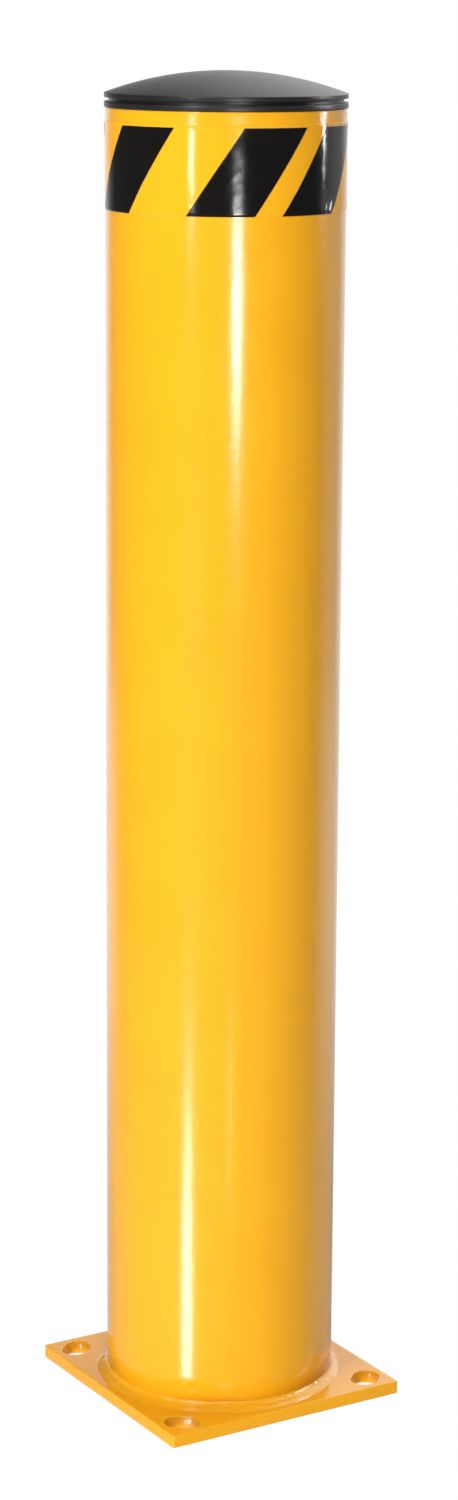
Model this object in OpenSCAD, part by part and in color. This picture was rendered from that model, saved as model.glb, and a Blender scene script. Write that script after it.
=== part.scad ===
// Steel safety bollard with a welded base plate, a push-in cap and a striped band.
// Millimetres, +Z up. The origin is the middle of the base plate's underside.

/* [Post] */
// Outer diameter of the tube
tube_d = 165.1; // [155:0.1:175]
// Wall thickness of the tube
tube_wall = 4.85; // [4:0.05:6]
// Length of the tube, from the top of the base plate to its rim
tube_len = 914.4; // [700:0.1:1200]

/* [Base plate] */
// Side of the square base plate
plate_w = 190.5; // [188:0.1:220]
// Thickness of the base plate
plate_t = 9.525; // [8:0.005:13]
// Radius of the plate's upright corners
plate_corner_r = 1.5; // [0.5:0.1:4]
// Spacing of the anchor slots, from centre to centre along each side
slot_spacing = 155.6; // [154:0.1:160]
// Width of an anchor slot
slot_w = 19.05; // [16:0.05:20]
// Length of an anchor slot, from end to end
slot_len = 25.4; // [22:0.1:27]

/* [Weld] */
// Leg of the fillet weld on the plate
weld_out = 7; // [4:0.1:8]
// Leg of the fillet weld on the tube
weld_up = 5.5; // [4:0.1:7]
// How far the weld's face bulges out past its chord
weld_bulge = 0.5; // [0.2:0.1:1.2]

/* [Cap] */
// Height of the lip that sits on the tube's rim
lower_lip_h = 3.7; // [3:0.1:7]
// Height of the groove between the two lips
groove_h = 2.7; // [1.5:0.1:4]
// Depth of the groove
groove_depth = 3.1; // [1:0.1:4]
// How far the lips stand out past the tube
lip_over = 0.8; // [0:0.1:1.5]
// Height of the lip at the foot of the dome
upper_lip_h = 3.1; // [2:0.1:6]
// Rise of the dome above the upper lip
dome_rise = 15; // [8:0.5:30]
// Thickness of the dome
dome_t = 4; // [3:0.1:5]
// Length of the skirt that goes down into the tube
skirt_len = 30; // [24:1:50]
// Thickness of the skirt
skirt_t = 3; // [2:0.1:4]
// Number of ribs round the skirt
skirt_ribs = 3; // [2:1:4]

/* [Striped band] */
// Gap between the tube's rim and the top of the film
film_gap = 8.5; // [0.5:0.1:20]
// Height of the film
film_h = 60.1; // [60:0.1:90]
// Thickness of the film
film_t = 0.3; // [0.2:0.05:0.5]
// Angle of the film's lap, round the post
lap_at = 68; // [-180:0.1:180]
// How far round the post the film laps over itself, in degrees
lap_turn = 8.5; // [4:0.1:20]
// Height of the black bars, which start at the film's lower edge
bar_h = 57.9; // [40:0.1:60]
// Width of a black bar round the post, in degrees
bar_turn = 32.3; // [15:0.1:35]
// How far a bar leans round the post from bottom to top, in degrees
bar_lean = 27.1; // [10:0.1:35]
// Thickness of a bar
bar_t = 0.2; // [0.15:0.05:0.4]

/* [Hidden] */
$fn = 180;

tube_r = tube_d / 2;
bore_r = tube_r - tube_wall;
rim_z = plate_t + tube_len;

// Clearances: skirt to bore, and rib to bore
skirt_gap = 1;
rib_gap = 0.3;
rib_h = 2;
edge_r = 0.6;

lip_r = tube_r + lip_over;
lip_top = lower_lip_h + groove_h + upper_lip_h;
dome_r = (lip_r * lip_r + dome_rise * dome_rise) / (2 * dome_rise);
dome_centre_z = rim_z + lip_top + dome_rise - dome_r;
skirt_r = bore_r - skirt_gap;
skirt_inner_r = skirt_r - skirt_t;
inner_dome_z = dome_centre_z + sqrt(pow(dome_r - dome_t, 2) - pow(skirt_inner_r, 2));

film_z = rim_z - film_gap - film_h;
film_r = tube_r + film_t;
// Angle round the post of each bar's lower left corner. The bars were laid on by hand.
bar_starts = [154.8, -140, -94.2, -31.9, 30.4, 92.7];
// Straight pieces that follow a bar's leaning edge
bar_steps = 4;

// A tube from z0 to z1 between two radii
module ring(r0, r1, z0, z1) {
    difference() {
        translate([0, 0, z0]) cylinder(r = r1, h = z1 - z0);
        translate([0, 0, z0 - 1]) cylinder(r = r0, h = z1 - z0 + 2);
    }
}

// The stretch of a ring from one angle round the post to another
module ring_part(r0, r1, z0, z1, from, to) {
    rotate([0, 0, from]) rotate_extrude(angle = to - from) {
        translate([r0, z0]) square([r1 - r0, z1 - z0]);
    }
}

module slot_cutter() {
    reach = (slot_len - slot_w) / 2;
    for (side = [-1, 1]) {
        translate([side * reach, 0, -1]) cylinder(d = slot_w, h = plate_t + 2);
    }
    translate([-reach, -slot_w / 2, -1]) cube([2 * reach, slot_w, plate_t + 2]);
}

// Square steel plate with a slot across each corner's diagonal
module base_plate() {
    half = plate_w / 2;
    inset = half - plate_corner_r;
    color([0.93, 0.6, 0.1]) difference() {
        union() {
            translate([-half, -inset, 0]) cube([plate_w, 2 * inset, plate_t]);
            translate([-inset, -half, 0]) cube([2 * inset, plate_w, plate_t]);
            for (x = [-inset, inset], y = [-inset, inset]) {
                translate([x, y, 0]) cylinder(r = plate_corner_r, h = plate_t);
            }
        }
        for (turn = [45:90:315]) {
            rotate([0, 0, turn]) translate([slot_spacing / sqrt(2), 0, 0]) rotate([0, 0, 90]) slot_cutter();
        }
    }
}

module post_tube() {
    color([1, 0.74, 0.12]) ring(bore_r, tube_r, plate_t, rim_z);
}

// Convex fillet weld all round the foot of the tube
module weld_bead() {
    steps = 6;
    face = [for (i = [0:steps])
        let (along = i / steps, out = weld_bulge * sin(180 * along) / sqrt(2))
        [tube_r + weld_out * (1 - along) + out, plate_t + weld_up * along + out]
    ];
    color([0.98, 0.7, 0.1]) rotate_extrude() polygon(concat([[tube_r, plate_t]], face));
}

// Lips, groove, domed top and a hollow ribbed skirt, moulded in one piece
module end_cap() {
    groove_r = lip_r - groove_depth;
    groove_z = rim_z + lower_lip_h;
    upper_z = groove_z + groove_h;
    rim_angle = asin(lip_r / dome_r);
    inner_angle = asin(skirt_inner_r / (dome_r - dome_t));
    arc_steps = 12;
    dome = [for (i = [0:arc_steps])
        let (a = rim_angle * (1 - i / arc_steps))
        [dome_r * sin(a), dome_centre_z + dome_r * cos(a)]
    ];
    inner_dome = [for (i = [0:arc_steps])
        let (a = inner_angle * i / arc_steps)
        [(dome_r - dome_t) * sin(a), dome_centre_z + (dome_r - dome_t) * cos(a)]
    ];
    outline = concat(
        [[skirt_inner_r, rim_z - skirt_len], [skirt_r, rim_z - skirt_len], [skirt_r, rim_z]],
        [[lip_r - edge_r, rim_z], [lip_r, rim_z + edge_r], [lip_r, groove_z - edge_r]],
        [[lip_r - edge_r, groove_z], [groove_r, groove_z], [groove_r, upper_z]],
        [[lip_r - edge_r, upper_z], [lip_r, upper_z + edge_r]],
        dome,
        inner_dome
    );
    color([0.13, 0.13, 0.14]) {
        rotate_extrude() polygon(outline);
        for (i = [1:skirt_ribs]) {
            z = rim_z - i * skirt_len / (skirt_ribs + 0.5);
            ring(skirt_r - 0.5, bore_r - rib_gap, z - rib_h / 2, z + rib_h / 2);
        }
    }
}

// Yellow film wrapped once round the tube and lapped over its own start
module tape_film() {
    color([1, 0.77, 0.16]) {
        ring(tube_r, film_r, film_z, film_z + film_h);
        ring_part(film_r - film_t / 2, film_r + film_t, film_z, film_z + film_h, lap_at, lap_at + lap_turn);
    }
}

// The layer that the black bars lie in, which climbs over the film's lap
module bar_layer() {
    climb = 0.2;
    top = film_z + bar_h;
    difference() {
        union() {
            ring(film_r, film_r + bar_t, film_z, top);
            ring_part(film_r, film_r + film_t + bar_t, film_z, top, lap_at - climb, lap_at + lap_turn + climb);
        }
        ring_part(film_r - 1, film_r + film_t, film_z - 1, top + 1, lap_at, lap_at + lap_turn);
    }
}

// One black bar, cut on a slant that follows a helix round the post
module tape_bar(start) {
    middle = start + (bar_turn + bar_lean) / 2;
    reach = film_r + 5;
    left_edge = [for (i = [0:bar_steps])
        [film_r * sin(start + bar_lean * i / bar_steps - middle), bar_h * i / bar_steps]
    ];
    right_edge = [for (i = [bar_steps:-1:0])
        [film_r * sin(start + bar_turn + bar_lean * i / bar_steps - middle), bar_h * i / bar_steps]
    ];
    color([0.08, 0.08, 0.09]) intersection() {
        bar_layer();
        rotate([0, 0, middle]) translate([0, 0, film_z]) rotate([90, 0, 90]) {
            linear_extrude(height = reach) polygon(concat(left_edge, right_edge));
        }
    }
}

base_plate();
post_tube();
weld_bead();
end_cap();
tape_film();
tape_bar(bar_starts[0]);  // tape_bar_1
tape_bar(bar_starts[1]);  // tape_bar_2
tape_bar(bar_starts[2]);  // tape_bar_3
tape_bar(bar_starts[3]);  // tape_bar_4
tape_bar(bar_starts[4]);  // tape_bar_5
tape_bar(bar_starts[5]);  // tape_bar_6
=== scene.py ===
"""Looks of the steel safety bollard: powder-coated post and plate, weld bead, striped film and rubber cap.

Metres, in the CAD frame: +Z up, origin in the middle of the base plate's underside.
Angles round the post are counted from +X, anticlockwise seen from above.
"""

import math

import bmesh
import bpy
from mathutils import Matrix, Vector, noise
from mathutils.geometry import tessellate_polygon


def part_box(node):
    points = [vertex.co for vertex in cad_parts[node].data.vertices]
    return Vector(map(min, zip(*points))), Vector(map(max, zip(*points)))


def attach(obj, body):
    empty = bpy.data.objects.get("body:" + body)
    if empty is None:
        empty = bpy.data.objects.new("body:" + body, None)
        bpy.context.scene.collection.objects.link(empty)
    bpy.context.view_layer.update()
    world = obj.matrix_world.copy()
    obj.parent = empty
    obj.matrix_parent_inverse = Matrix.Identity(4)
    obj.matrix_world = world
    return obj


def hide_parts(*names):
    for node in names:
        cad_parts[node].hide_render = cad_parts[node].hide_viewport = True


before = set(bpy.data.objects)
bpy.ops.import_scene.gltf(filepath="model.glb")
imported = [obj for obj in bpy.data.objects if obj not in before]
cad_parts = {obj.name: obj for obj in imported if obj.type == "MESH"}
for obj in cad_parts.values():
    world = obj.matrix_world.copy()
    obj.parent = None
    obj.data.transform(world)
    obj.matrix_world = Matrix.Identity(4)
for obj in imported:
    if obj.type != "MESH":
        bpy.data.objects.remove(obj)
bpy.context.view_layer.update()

MM = 0.001
TURN = 2 * math.pi

# ---------------------------------------------------------------- sizes, from the CAD frame

_, plate_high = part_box("base_plate")
tube_low, tube_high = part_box("post_tube")
weld_low, weld_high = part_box("weld_bead")
cap_low, cap_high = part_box("end_cap")
film_low, film_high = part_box("tape_film")
bar_low, bar_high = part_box("tape_bar_1")

plate_half = plate_high.x
plate_top = plate_high.z
tube_r = tube_high.x
rim_z = tube_high.z
lip_r = cap_high.x
weld_out = weld_high.x - tube_r
weld_up = weld_high.z - weld_low.z

# Sizes that the frame's boxes don't give, as in part.scad
TUBE_WALL = 4.85 * MM
CORNER_R = 1.5 * MM
SLOT_SPACING = 155.6 * MM
SLOT_W = 19.05 * MM
SLOT_LEN = 25.4 * MM
FILM_T = 0.3 * MM
BAR_T = 0.2 * MM
LOWER_LIP_H = 3.7 * MM
GROOVE_H = 2.7 * MM
GROOVE_DEPTH = 3.1 * MM
UPPER_LIP_H = 3.1 * MM
DOME_T = 4 * MM
SKIRT_GAP = 1 * MM
SKIRT_T = 3 * MM
SKIRT_RIBS = 3
RIB_GAP = 0.3 * MM
RIB_H = 2 * MM
LAP_AT = math.radians(68)
LAP_TURN = math.radians(8.5)
BAR_STARTS = [math.radians(a) for a in (154.8, -140, -94.2, -31.9, 30.4, 92.7)]
BAR_TURN = math.radians(32.3)
BAR_LEAN = math.radians(27.1)

bore_r = tube_r - TUBE_WALL

# The side of the post that faces the camera
FRONT = math.radians(-121.29)


# ---------------------------------------------------------------- mesh helpers

# Points of a mesh that are nearer than this are one point
SAME_POINT = 0.001 * MM
# A rounded corner takes no more than this share of the sides that meet there
MOST_OF_SIDE = 0.49


def smoothstep(low, high, x):
    t = min(max((x - low) / (high - low), 0.0), 1.0)
    return t * t * (3 - 2 * t)


def angle_from(angle, centre):
    """Signed angle from centre, within half a turn."""
    return (angle - centre + math.pi) % TURN - math.pi


def new_piece(name, verts, faces, material, body, replaced, flat_faces=()):
    """A mesh piece with closed, outward faces, which rides on a CAD body and stands for CAD nodes."""
    mesh = bpy.data.meshes.new(name)
    mesh.from_pydata([tuple(v) for v in verts], [], [tuple(f) for f in faces])
    bm = bmesh.new()
    bm.from_mesh(mesh)
    if not flat_faces:
        bmesh.ops.remove_doubles(bm, verts=bm.verts, dist=SAME_POINT)
    bmesh.ops.recalc_face_normals(bm, faces=bm.faces)
    bm.to_mesh(mesh)
    bm.free()
    mesh.shade_smooth()
    for index in flat_faces:
        mesh.polygons[index].use_smooth = False
    piece = bpy.data.objects.new(name, mesh)
    bpy.context.scene.collection.objects.link(piece)
    mesh.materials.append(material)
    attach(piece, body)
    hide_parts(*replaced)
    return piece


def ring_quads(rows, columns, wrap_rows=False, wrap_columns=True, start=0):
    """Quads of a grid whose vertices are stored row by row."""
    quads = []
    for i in range(rows if wrap_rows else rows - 1):
        below, above = i * columns, (i + 1) % rows * columns
        for j in range(columns if wrap_columns else columns - 1):
            k = (j + 1) % columns
            quads.append([start + below + j, start + below + k, start + above + k, start + above + j])
    return quads


def rounded(corners, steps=5):
    """An outline from (x, z, radius) corners, each turned into an arc unless its radius is 0."""
    points = []
    places = [Vector((x, z)) for x, z, _ in corners]
    for i, here in enumerate(places):
        wanted = corners[i][2]
        if not wanted:
            points.append(tuple(here))
            continue
        to_last = places[i - 1] - here
        to_next = places[(i + 1) % len(places)] - here
        half = to_last.angle(to_next) / 2
        most = MOST_OF_SIDE * min(to_last.length, to_next.length)
        reach = min(wanted / math.tan(half), most)
        radius = reach * math.tan(half)
        inward = (to_last.normalized() + to_next.normalized()).normalized()
        centre = here + inward * (radius / math.sin(half))
        begin = here + to_last.normalized() * reach - centre
        end = here + to_next.normalized() * reach - centre
        sweep = begin.angle_signed(end)
        for s in range(steps + 1):
            arm = begin.copy()
            arm.rotate(Matrix.Rotation(-sweep * s / steps, 2))
            points.append(tuple(centre + arm))
    return points


def lathe(outline, columns):
    """Vertices and quads of a closed outline of (radius, z) turned round the post's axis."""
    angles = [TURN * j / columns for j in range(columns)]
    verts = [(r * math.cos(a), r * math.sin(a), z) for r, z in outline for a in angles]
    return verts, ring_quads(len(outline), columns, wrap_rows=True)


def smooth_curve(points, steps):
    """Points on a smooth curve through the given points, with this many steps to each stretch."""
    places = [Vector(p) for p in points]
    padded = [places[0], *places, places[-1]]
    curve = []
    for a, b, c, d in zip(padded, padded[1:], padded[2:], padded[3:]):
        slope = c - a
        bend = 2 * a - 5 * b + 4 * c - d
        twist = 3 * b - a - 3 * c + d
        for step in range(steps):
            t = step / steps
            curve.append(0.5 * (2 * b + slope * t + bend * t ** 2 + twist * t ** 3))
    return [*curve, places[-1]]


def closed_sheet(outer, inner, rows, columns):
    """Vertices, faces and the border faces' indices of a thin sheet between two open grids."""
    front = ring_quads(rows, columns, wrap_columns=False)
    behind = rows * columns
    back = [[behind + v for v in reversed(quad)] for quad in front]
    border = list(range(columns - 1))
    border += [i * columns + columns - 1 for i in range(rows - 1)]
    border += [rows * columns - 1 - j for j in range(columns - 1)]
    border += [(rows - 1 - i) * columns for i in range(rows - 1)]
    edge = [[b, a, behind + a, behind + b] for a, b in zip(border, border[1:] + border[:1])]
    faces = front + back + edge
    return outer + inner, faces, range(len(front) + len(back), len(faces))


def on_post(radius, angle, z):
    """The point at this radius and angle round the post's axis."""
    return (radius * math.cos(angle), radius * math.sin(angle), z)


def wander(angle, pace, depth=0.0):
    """Noise from -1 to 1 that wanders round the post; another depth gives another course."""
    around = Vector((math.cos(angle), math.sin(angle), 0))
    return noise.noise(around * pace + Vector((0, 0, depth)))


# ---------------------------------------------------------------- materials

PAINT = (0.87, 0.41, 0.011)
PAINT_DEEP = (0.85, 0.39, 0.009)
PEEL_H = 0.06 * MM
RUBBER = (0.013, 0.013, 0.0135)
RUBBER_DUSTY = (0.017, 0.017, 0.0175)
YELLOW_FILM = (0.90, 0.42, 0.012)
YELLOW_FILM_DEEP = (0.88, 0.40, 0.012)
BLACK_FILM = (0.0045, 0.0042, 0.004)
BLACK_FILM_PALE = (0.006, 0.0055, 0.005)
# A noise texture hardly ever leaves this range
NOISE_LOW = 0.3
NOISE_HIGH = 0.7


def new_material(name, roughness, **sockets):
    """A material whose shader has these plain values, with its node tree and shader."""
    material = bpy.data.materials.new(name)
    material.use_nodes = True
    tree = material.node_tree
    shader = tree.nodes["Principled BSDF"]
    shader.inputs["Roughness"].default_value = roughness
    for socket, value in sockets.items():
        shader.inputs[socket.replace("_", " ")].default_value = value
    return material, tree, shader


def add_node(tree, kind, *links, **values):
    """A node with some settings, and with its first inputs linked to the given outputs."""
    node = tree.nodes.new(kind)
    for key, value in values.items():
        if key in node.inputs:
            node.inputs[key].default_value = value
        else:
            setattr(node, key, value)
    for i, output in enumerate(links):
        if output is not None:
            tree.links.new(output, node.inputs[i])
    return node


def grain(tree, size, detail=2.0):
    """Noise from 0 to 1 whose lumps are about size metres across, in the piece's own space."""
    place = add_node(tree, "ShaderNodeTexCoord").outputs["Object"]
    return add_node(tree, "ShaderNodeTexNoise", place, Scale=1 / size, Detail=detail).outputs["Fac"]


def vary(tree, noise_output, low, high):
    """Noise turned into a number from low to high."""
    return add_node(
        tree, "ShaderNodeMapRange", noise_output,
        **{"From Min": NOISE_LOW, "From Max": NOISE_HIGH, "To Min": low, "To Max": high},
    ).outputs["Result"]


def tint(tree, noise_output, low, high):
    """Noise turned into a colour between two colours."""
    share = vary(tree, noise_output, 0, 1)
    mix = add_node(tree, "ShaderNodeMix", share, data_type="RGBA")
    mix.inputs["A"].default_value = (*low, 1)
    mix.inputs["B"].default_value = (*high, 1)
    return mix.outputs["Result"]


def bump(tree, shader, layers):
    """Stacks bumps, given as (noise, height in metres), and links them to the shader."""
    normal = None
    for output, height in layers:
        node = add_node(tree, "ShaderNodeBump", Distance=height, Strength=1.0)
        tree.links.new(output, node.inputs["Height"])
        if normal:
            tree.links.new(normal, node.inputs["Normal"])
        normal = node.outputs["Normal"]
    tree.links.new(normal, shader.inputs["Normal"])


def powder_coat(name):
    """Glossy yellow powder coat with orange peel of two sizes, which its clear gloss follows."""
    material, tree, shader = new_material(
        name, 0.2, Specular_IOR_Level=0.3, Coat_Weight=0.65, Coat_Roughness=0.11, Coat_IOR=1.5,
    )
    cloud = grain(tree, 60 * MM, detail=3)
    tree.links.new(tint(tree, cloud, PAINT, PAINT_DEEP), shader.inputs["Base Color"])
    tree.links.new(vary(tree, grain(tree, 9 * MM), 0.19, 0.22), shader.inputs["Roughness"])
    swell = grain(tree, 5 * MM, detail=1)
    fine = grain(tree, 1.2 * MM, detail=1.5)
    bump(tree, shader, [(swell, PEEL_H), (fine, PEEL_H)])
    tree.links.new(shader.inputs["Normal"].links[0].from_socket, shader.inputs["Coat Normal"])
    return material


def cap_rubber():
    """Satin black moulded rubber with a fine grain and a trace of dust."""
    material, tree, shader = new_material("cap_rubber", 0.4, Specular_IOR_Level=0.5)
    dust = grain(tree, 25 * MM, detail=5)
    tree.links.new(tint(tree, dust, RUBBER, RUBBER_DUSTY), shader.inputs["Base Color"])
    tree.links.new(vary(tree, grain(tree, 4 * MM, detail=4), 0.31, 0.36), shader.inputs["Roughness"])
    bump(tree, shader, [(grain(tree, 0.6 * MM), 0.01 * MM)])
    return material


def film_plastic(name, low, high):
    """Glossy film whose adhesive and beads give it a fine, uneven grain."""
    material, tree, shader = new_material(name, 0.16, Specular_IOR_Level=0.5)
    cloud = grain(tree, 30 * MM, detail=3)
    tree.links.new(tint(tree, cloud, low, high), shader.inputs["Base Color"])
    tree.links.new(vary(tree, grain(tree, 5 * MM), 0.10, 0.13), shader.inputs["Roughness"])
    fine = grain(tree, 0.5 * MM, detail=1)
    coarse = grain(tree, 1.2 * MM, detail=1)
    bump(tree, shader, [(coarse, 0.018 * MM), (fine, 0.007 * MM)])
    return material


# ---------------------------------------------------------------- base plate

EDGE_R = 0.8 * MM


def plate_outline(inset):
    """The plate's outline, drawn in by inset, with arcs at its upright corners."""
    reach = plate_half - CORNER_R
    radius = CORNER_R - inset
    points = []
    for quarter in range(4):
        middle = math.radians(45 + 90 * quarter)
        corner = Vector((math.cos(middle), math.sin(middle))) * reach * math.sqrt(2)
        for step in range(-3, 4):
            angle = middle + math.radians(15 * step)
            points.append(corner + radius * Vector((math.cos(angle), math.sin(angle))))
    return points


def slot_outline(middle, grow):
    """The outline of the slot across the diagonal at angle middle, widened by grow."""
    outward = Vector((math.cos(middle), math.sin(middle)))
    along = Vector((-outward.y, outward.x))
    centre = outward * SLOT_SPACING / math.sqrt(2)
    radius = SLOT_W / 2 + grow
    steps = 24
    points = []
    for side, start in ((1, middle), (-1, middle + math.pi)):
        for step in range(steps + 1):
            angle = start + math.pi * step / steps
            round_end = radius * Vector((math.cos(angle), math.sin(angle)))
            points.append(centre + side * along * (SLOT_LEN - SLOT_W) / 2 + round_end)
    return points


def make_plate(material):
    """Square plate with rounded edges and four slots, triangulated on its flat faces."""
    turns = [math.radians(15 * i) for i in range(7)]
    levels = [(EDGE_R * (1 - math.cos(a)), EDGE_R - EDGE_R * math.sin(a)) for a in reversed(turns)]
    levels += [(EDGE_R * (1 - math.cos(a)), plate_top - EDGE_R + EDGE_R * math.sin(a)) for a in turns]
    makers = [plate_outline]
    for quarter in range(4):
        middle = math.radians(45 + 90 * quarter)
        makers.append(lambda inset, middle=middle: slot_outline(middle, inset))
    verts, faces, bottom, top = [], [], [], []
    for maker in makers:
        start = len(verts)
        columns = len(maker(0))
        for inset, z in levels:
            verts += [(p.x, p.y, z) for p in maker(inset)]
        faces += ring_quads(len(levels), columns, start=start)
        bottom.append(range(start, start + columns))
        top.append(range(len(verts) - columns, len(verts)))
    walls = len(faces)
    for loops in (bottom, top):
        order = [v for loop in loops for v in loop]
        filled = tessellate_polygon([[Vector(verts[v]) for v in loop] for loop in loops])
        faces += [[order[corner] for corner in triangle] for triangle in filled]
    flat = range(walls, len(faces))
    return new_piece("plate", verts, faces, material, "post", ["base_plate"], flat)


# ---------------------------------------------------------------- tube and weld

RIM_R = 0.9 * MM


def make_tube(material):
    """Straight welded tube with a softly rounded rim."""
    foot = tube_low.z
    bands = 40
    heights = [foot + (rim_z - 3 * RIM_R - foot) * i / bands for i in range(1, bands + 1)]
    ends = rounded([(bore_r, foot, 0), (tube_r, foot, 0), (tube_r, rim_z, RIM_R), (bore_r, rim_z, RIM_R)])
    outside = [(tube_r, z) for z in heights]
    inside = [(bore_r, z) for z in reversed(heights)]
    verts, faces = lathe(ends[:2] + outside + ends[2:] + inside, 360)
    return new_piece("tube", verts, faces, material, "post", ["post_tube"])


RIPPLE_PITCH = 3.6 * MM
RIPPLE_H = 0.1 * MM
# Two sets of ripples: how far each leans over the face, in ripples, its pitch and its strength
RIPPLE_SETS = [(1.1, RIPPLE_PITCH, 1), (-0.8, 0.83 * RIPPLE_PITCH, 0.6)]
WELD_LUMP_H = 0.3 * MM
# The weld's hidden corner lies this deep in the tube and the plate
WELD_SUNK = 0.3 * MM
# The weld's face from the plate up to the tube, as shares of its legs on the plate and on the tube
WELD_FACE = [
    (1.04, -0.03), (0.93, 0.08), (0.8, 0.19), (0.65, 0.3), (0.5, 0.39), (0.36, 0.48),
    (0.22, 0.61), (0.1, 0.77), (0.02, 0.92), (-0.01, 1.02),
]
# The weld's leg on the plate is longest at this angle, and varies by this share either way
WIDEST_AT = FRONT - math.radians(25)
WIDENING = 0.26


def weld_ripple(angle, share):
    """Height of the weld's crossed ripples at an angle round the post and a share of its face."""
    drift = 1.2 * wander(angle, 4, 12)
    height = 0
    for lean, pitch, strength in RIPPLE_SETS:
        phase = angle * tube_r / pitch + drift + lean * share
        height += strength * (1 - abs(2 * (phase % 1) - 1) ** 1.8)
    presence = max(0.7 + 0.8 * wander(angle, 5, 21), 0.2)
    return RIPPLE_H * presence * height * math.sin(math.pi * share)


def make_weld(material):
    """Fillet weld with a slightly hollow, rippled face and toes that wander a little."""
    columns = 1080
    angles = [TURN * j / columns for j in range(columns)]
    face = smooth_curve(WELD_FACE, 3)
    verts = []
    for i, (out_share, up_share) in enumerate(face):
        share = i / (len(face) - 1)
        for angle in angles:
            widening = WIDENING * math.cos(angle - WIDEST_AT) + 0.1 * wander(angle, 6)
            leg_out = weld_out * (0.94 + widening)
            leg_up = weld_up * (0.9 + 0.12 * wander(angle, 7, 5))
            lump = WELD_LUMP_H * wander(angle, 14, 2 * share) * math.sin(math.pi * share)
            proud = (weld_ripple(angle, share) + lump) / math.sqrt(2)
            radius = tube_r + leg_out * out_share + proud
            verts.append(on_post(radius, angle, plate_top + leg_up * up_share + proud))
    verts += [on_post(tube_r - WELD_SUNK, angle, plate_top - WELD_SUNK) for angle in angles]
    faces = ring_quads(len(face) + 1, columns, wrap_rows=True)
    return new_piece("weld", verts, faces, material, "post", ["weld_bead"])


# ---------------------------------------------------------------- cap

# Radii of the cap's rounded corners
CAP_EDGE_R = 0.5 * MM
GROOVE_EDGE_R = 0.4 * MM
RIB_EDGE_R = 0.3 * MM
SKIRT_EDGE_R = 0.6 * MM
DOME_INSIDE_R = 2 * MM


def dome_arc(radius, centre_z, low, high, steps):
    """Corners without rounding along a dome, between two angles counted from its top."""
    angles = [low + (high - low) * i / steps for i in range(steps + 1)]
    return [(radius * math.sin(a), centre_z + radius * math.cos(a), 0) for a in angles]


def make_cap(material):
    """Domed cap with two lips, a groove between them and a hollow ribbed skirt."""
    groove_z = rim_z + LOWER_LIP_H
    upper_z = groove_z + GROOVE_H
    lip_top = upper_z + UPPER_LIP_H
    rise = cap_high.z - lip_top
    dome_r = (lip_r ** 2 + rise ** 2) / (2 * rise)
    centre_z = cap_high.z - dome_r
    inside_r = dome_r - DOME_T
    groove_r = lip_r - GROOVE_DEPTH
    skirt_r = bore_r - SKIRT_GAP
    inner_r = skirt_r - SKIRT_T
    rib_r = bore_r - RIB_GAP
    skirt_low = cap_low.z
    skirt_len = rim_z - skirt_low
    corners = [(inner_r, skirt_low, SKIRT_EDGE_R), (skirt_r, skirt_low, SKIRT_EDGE_R)]
    for i in range(SKIRT_RIBS, 0, -1):
        z = rim_z - i * skirt_len / (SKIRT_RIBS + 0.5)
        corners += [
            (skirt_r, z - RIB_H / 2, RIB_EDGE_R), (rib_r, z - RIB_H / 4, RIB_EDGE_R),
            (rib_r, z + RIB_H / 2, RIB_EDGE_R), (skirt_r, z + RIB_H / 2, RIB_EDGE_R),
        ]
    corners += [
        (skirt_r, rim_z, RIB_EDGE_R), (lip_r, rim_z, CAP_EDGE_R), (lip_r, groove_z, CAP_EDGE_R),
        (groove_r, groove_z, GROOVE_EDGE_R), (groove_r, upper_z, GROOVE_EDGE_R),
        (lip_r, upper_z, CAP_EDGE_R), (lip_r, lip_top, CAP_EDGE_R),
    ]
    dome_steps = 28
    corners += dome_arc(dome_r, centre_z, math.asin(lip_r / dome_r), 0, dome_steps)[1:]
    inside = dome_arc(inside_r, centre_z, 0, math.asin(inner_r / inside_r), dome_steps)
    last_x, last_z, _ = inside[-1]
    corners += [*inside[:-1], (last_x, last_z, DOME_INSIDE_R)]
    verts, faces = lathe(rounded(corners), 256)
    return new_piece("cap", verts, faces, material, "cap", ["end_cap"])


# ---------------------------------------------------------------- striped band

SLACK_SIZE = 14 * MM
SLACK_H = 0.05 * MM
BUBBLE_SIZE = 4.5 * MM
BUBBLE_H = 0.025 * MM
# Pulled wrinkles stand on the film's lower edge here, and fade out to both sides and upwards
WRINKLES_AT = FRONT + math.radians(60)
WRINKLES_HALF = 7 * MM
WRINKLES_RISE = 14 * MM
WRINKLES_LEAN = 0.45
WRINKLE_H = 0.16 * MM
WRINKLE_PITCH = 0.8 * MM * TURN
# Along its upper and lower edges, over this height, the film is pressed down to this share
FILM_EDGE = 1.6 * MM
PRESSED_SHARE = 0.35
# Where the bars climb onto the film's lap and come down from it, as angles from its start
LAP_CLIMB = (math.radians(-2.2), math.radians(-0.9))
LAP_DESCENT = (LAP_TURN + math.radians(0.6), LAP_TURN + math.radians(1.6))
# The bars' backs lie this deep in the film
BAR_SUNK = 0.05 * MM


def film_swell(angle, z):
    """How far the film's face stands off its even thickness: slack, tiny bubbles and wrinkles."""
    spot = Vector(on_post(tube_r, angle, z))
    swell = SLACK_H * noise.noise(spot / SLACK_SIZE)
    swell += BUBBLE_H * noise.noise(spot / BUBBLE_SIZE + Vector((7, 0, 0)))
    away = angle_from(angle, WRINKLES_AT) * tube_r
    height = z - film_low.z
    fade = math.exp(-(away / WRINKLES_HALF) ** 2 - (height / WRINKLES_RISE) ** 2)
    swell += WRINKLE_H * fade * math.sin(TURN * (away - WRINKLES_LEAN * height) / WRINKLE_PITCH)
    return swell


def film_thickness(z):
    """The film's thickness, which thins out where it is pressed down along its edges."""
    edge = min(z - film_low.z, film_high.z - z)
    return FILM_T * (PRESSED_SHARE + (1 - PRESSED_SHARE) * smoothstep(0, FILM_EDGE, edge))


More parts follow.
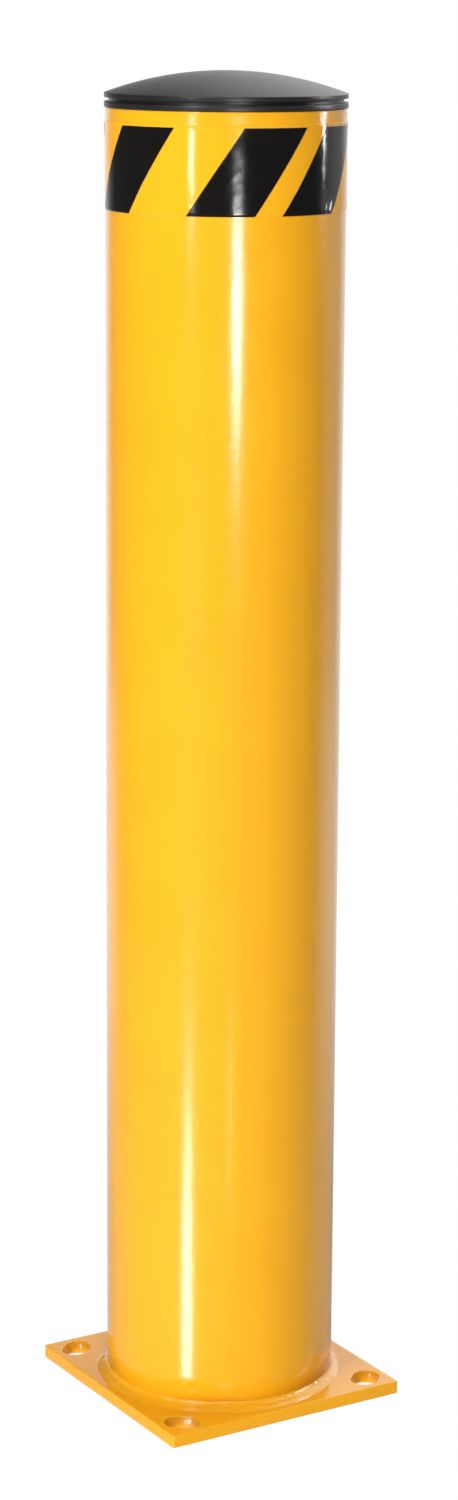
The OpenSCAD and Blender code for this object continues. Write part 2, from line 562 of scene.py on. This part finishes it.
def film_radius(angle, z):
    """Radius of the face that the bars lie on, which drapes over the two steps of the film's lap."""
    turned = angle_from(angle, LAP_AT)
    over = smoothstep(*LAP_CLIMB, turned) * (1 - smoothstep(*LAP_DESCENT, turned))
    return tube_r + film_thickness(z) * (1 + over) + film_swell(angle, z)


def even_heights(low, high):
    """Heights up a strip, closer together along its two edges."""
    close = [FILM_EDGE * i / 4 for i in range(5)]
    steps = 72
    middle = [low + FILM_EDGE + (high - low - 2 * FILM_EDGE) * i / steps for i in range(1, steps)]
    return [low + d for d in close] + middle + [high - d for d in reversed(close)]


def make_film(material):
    """One strip wrapped round the post, whose end lies over its start."""
    columns = 700
    span = TURN + LAP_TURN
    outer, inner = [], []
    heights = even_heights(film_low.z, film_high.z)
    for z in heights:
        for j in range(columns):
            turned = span * j / (columns - 1)
            angle = LAP_AT + turned
            swell = film_swell(angle, z)
            thick = film_thickness(z)
            lift = thick * smoothstep(TURN - math.radians(1), TURN, turned)
            outer.append(on_post(tube_r + thick + lift + swell, angle, z))
            inner.append(on_post(tube_r + lift + swell if lift else tube_r, angle, z))
    verts, faces, edge = closed_sheet(outer, inner, len(heights), columns)
    return new_piece("film", verts, faces, material, "post", ["tape_film"], edge)


def make_bar(number, start, material):
    """One black bar that follows a helix round the post, on top of the film."""
    columns = 62
    outer, inner = [], []
    heights = even_heights(bar_low.z, bar_high.z)
    for z in heights:
        share = (z - bar_low.z) / (bar_high.z - bar_low.z)
        for j in range(columns):
            angle = start + BAR_LEAN * share + BAR_TURN * j / (columns - 1)
            radius = film_radius(angle, z)
            outer.append(on_post(radius + BAR_T, angle, z))
            inner.append(on_post(radius - BAR_SUNK, angle, z))
    verts, faces, edge = closed_sheet(outer, inner, len(heights), columns)
    return new_piece(
        f"bar_{number}", verts, faces, material, "post", [f"tape_bar_{number}"], edge,
    )


# ---------------------------------------------------------------- studio

def at_azimuth(azimuth, distance, height):
    """A point at an azimuth in degrees, 0 towards the camera and positive to its right."""
    return Vector(on_post(distance, FRONT + math.radians(azimuth), height))


# Each light's name, azimuth, distance and height, the height on the post's axis that it faces,
# its width and its height across, in metres, and its power in watts
SOFTBOXES = [
    ("key", -32, 4.8, 2.9, 0.5, 0.9, 0.9, 116),
    ("fill", 5, 3.2, 3.2, 0.5, 0.8, 0.8, 52),
    ("right", 110, 3.2, 3.2, 0.5, 0.8, 0.8, 20),
    ("top", -50, 1.2, 3.0, 0, 0.6, 0.6, 12),
]
BOUNCE = ("bounce", -30, 3.2, -0.3, 0.2, 1.2, 0.8, 67)
HIGHLIGHTS = [
    ("strip", 11, 1.5, 0.66, 0.66, 0.19, 0.2, 4),
    ("strip_tail", 11, 1.5, 0.5, 0.5, 0.05, 0.08, 0.06),
    ("far_strip", 104, 2.0, 1.4, 1.4, 0.035, 1.2, 13),
    ("spot", -31.5, 1.5, 0.825, 0.825, 0.1, 0.05, 0.6),
    ("key_in_floor", -32.6, 2.2, -0.76, 0.14, 0.32, 0.42, 8.8),
    ("strip_in_floor", 9, 1.5, -0.24, 0.5, 0.03, 0.13, 0.15),
]


def make_light(name, azimuth, distance, z, faces_z, width, height, power):
    """A rectangular area light that faces the post's axis."""
    data = bpy.data.lights.new(name, "AREA")
    data.shape = "RECTANGLE"
    data.size = width
    data.size_y = height
    data.energy = power
    light = bpy.data.objects.new(name, data)
    light.location = at_azimuth(azimuth, distance, z)
    light.rotation_mode = "QUATERNION"
    light.rotation_quaternion = (Vector((0, 0, faces_z)) - light.location).to_track_quat("-Z", "Y")
    light.visible_camera = False
    bpy.context.scene.collection.objects.link(light)
    return light


def make_lights():
    """Softboxes, a bounce off the floor, and lights that only show as highlights in the gloss."""
    for softbox in SOFTBOXES:
        make_light(*softbox)
    make_light(*BOUNCE).visible_glossy = False
    for highlight in HIGHLIGHTS:
        make_light(*highlight).visible_diffuse = False


# Brightness of the surroundings that the gloss mirrors, at azimuths in degrees
WALL_LEVELS = [
    (-180, 1.0), (-160, 1.0), (-150, 0.75), (-140, 0.25), (-130, 0.08),
    (105, 0.08), (112, 0.4), (120, 0.6), (140, 0.45), (150, 0.75), (180, 1.0),
]
SKY_LEVELS = [
    (-180, 0.85), (-172, 0.4), (-160, 0.15), (-140, 0.06), (-125, 0.05), (-110, 0.05),
    (90, 0.1), (110, 0.5), (125, 1.5), (150, 2.0), (165, 1.6), (180, 1.0),
]
FAR_FLOOR_LEVELS = [
    (-180, 0.85), (-145, 0.9), (-135, 0.8), (-125, 0.4), (-115, 0.1),
    (100, 0.1), (108, 0.4), (118, 1.0), (132, 1.0), (145, 0.7), (180, 0.85),
]
NEAR_FLOOR_LEVELS = [
    (-180, 0.5), (-160, 0.6), (-145, 0.35), (-120, 0.4), (-60, 0.45),
    (-10, 0.3), (20, 0.12), (80, 0.15), (110, 0.5), (135, 0.45), (160, 0.3),
]
# Elevations in degrees over which each band of the surroundings turns into the next one up
NEAR_TO_FAR_FLOOR = (-20, -16)
FLOOR_TO_WALL = (-12.3, -11.7)
WALL_TO_SKY = (6, 10)


def levels_round(tree, share, levels):
    """A ramp of grey levels round the horizon."""
    node = add_node(tree, "ShaderNodeValToRGB", share)
    ramp = node.color_ramp
    while len(ramp.elements) < len(levels):
        ramp.elements.new(0.5)
    for element, (degrees, level) in zip(ramp.elements, levels):
        element.position = degrees / 360 + 0.5
        element.color = (level, level, level, 1)
    return node.outputs["Color"]


def above(tree, height, low, high):
    """0 below one elevation in degrees and 1 above another, from a direction's height."""
    limits = {"From Min": math.sin(math.radians(low)), "From Max": math.sin(math.radians(high))}
    return add_node(tree, "ShaderNodeMapRange", height, **limits).outputs["Result"]


def blend_colours(tree, share, low, high):
    """One colour output turning into another as the share goes from 0 to 1."""
    mix = add_node(tree, "ShaderNodeMix", share, data_type="RGBA")
    tree.links.new(low, mix.inputs["A"])
    tree.links.new(high, mix.inputs["B"])
    return mix.outputs["Result"]


def make_world():
    """White to the camera; light and reflections come from a studio's floor, wall and sky."""
    world = bpy.data.worlds.new("studio")
    bpy.context.scene.world = world
    world.use_nodes = True
    tree = world.node_tree
    tree.nodes.clear()
    direction = add_node(tree, "ShaderNodeTexCoord").outputs["Generated"]
    turned = add_node(tree, "ShaderNodeVectorRotate", direction, rotation_type="Z_AXIS", Angle=-FRONT)
    parts = add_node(tree, "ShaderNodeSeparateXYZ", turned.outputs[0]).outputs
    azimuth = add_node(tree, "ShaderNodeMath", parts["Y"], parts["X"], operation="ARCTAN2")
    share = add_node(
        tree, "ShaderNodeMapRange", azimuth.outputs[0],
        **{"From Min": -math.pi, "From Max": math.pi},
    ).outputs["Result"]
    sky, wall, far_floor, near_floor = (
        levels_round(tree, share, levels)
        for levels in (SKY_LEVELS, WALL_LEVELS, FAR_FLOOR_LEVELS, NEAR_FLOOR_LEVELS)
    )
    floor = blend_colours(tree, above(tree, parts["Z"], *NEAR_TO_FAR_FLOOR), near_floor, far_floor)
    low = blend_colours(tree, above(tree, parts["Z"], *FLOOR_TO_WALL), floor, wall)
    around = blend_colours(tree, above(tree, parts["Z"], *WALL_TO_SKY), low, sky)
    lit = add_node(tree, "ShaderNodeBackground")
    tree.links.new(around, lit.inputs["Color"])
    seen = add_node(tree, "ShaderNodeBackground", Color=(1, 1, 1, 1))
    ray = add_node(tree, "ShaderNodeLightPath").outputs["Is Camera Ray"]
    mix = add_node(tree, "ShaderNodeMixShader", ray, lit.outputs[0], seen.outputs[0])
    add_node(tree, "ShaderNodeOutputWorld", mix.outputs[0])


FLOOR_HALF = 4.0


def make_floor():
    """Floor that is plain white to the camera, so no shadow shows, and bounces light onto the post."""
    mesh = bpy.data.meshes.new("floor")
    corners = [(FLOOR_HALF * x, FLOOR_HALF * y, 0) for x, y in ((-1, -1), (1, -1), (1, 1), (-1, 1))]
    mesh.from_pydata(corners, [], [(0, 1, 2, 3)])
    floor = bpy.data.objects.new("floor", mesh)
    bpy.context.scene.collection.objects.link(floor)
    material = bpy.data.materials.new("floor")
    material.use_nodes = True
    tree = material.node_tree
    tree.nodes.clear()
    seen = add_node(tree, "ShaderNodeEmission", Strength=1.0)
    lit = add_node(tree, "ShaderNodeBsdfDiffuse", Color=(0.8, 0.8, 0.8, 1))
    ray = add_node(tree, "ShaderNodeLightPath").outputs["Is Camera Ray"]
    mix = add_node(tree, "ShaderNodeMixShader", ray, lit.outputs[0], seen.outputs[0])
    add_node(tree, "ShaderNodeOutputMaterial", mix.outputs[0])
    mesh.materials.append(material)
    floor.visible_glossy = False
    floor.visible_shadow = False


CAMERA_LENS = 82.37
CAMERA_DISTANCE = 2.3756
CAMERA_HEIGHT = 1.0182
# How far the camera looks down and to the right of the post's axis, and leans, in degrees
CAMERA_DOWN = 12.886
CAMERA_RIGHT = 0.109
CAMERA_LEAN = 0.35


def make_camera():
    """The photograph's camera: a little above the rim's height, looking down at the post."""
    data = bpy.data.cameras.new("camera")
    data.lens = CAMERA_LENS
    data.sensor_width = 36
    data.clip_start = 0.05
    camera = bpy.data.objects.new("camera", data)
    heading = Matrix.Rotation(FRONT + math.pi / 2 - math.radians(CAMERA_RIGHT), 4, "Z")
    pitch = Matrix.Rotation(math.radians(90 - CAMERA_DOWN), 4, "X")
    lean = Matrix.Rotation(math.radians(CAMERA_LEAN), 4, "Z")
    place = Matrix.Translation(at_azimuth(0, CAMERA_DISTANCE, CAMERA_HEIGHT))
    camera.matrix_world = place @ (heading @ pitch @ lean)
    bpy.context.scene.collection.objects.link(camera)
    bpy.context.scene.camera = camera


# ---------------------------------------------------------------- the whole scene

make_plate(powder_coat("plate_paint"))
make_tube(powder_coat("tube_paint"))
make_weld(powder_coat("weld_paint"))
make_cap(cap_rubber())
make_film(film_plastic("yellow_film", YELLOW_FILM, YELLOW_FILM_DEEP))
black_film = film_plastic("black_film", BLACK_FILM, BLACK_FILM_PALE)
for number, start in enumerate(BAR_STARTS, 1):
    make_bar(number, start, black_film)

make_floor()
make_world()
make_lights()
make_camera()
bpy.context.scene.view_settings.view_transform = "Standard"
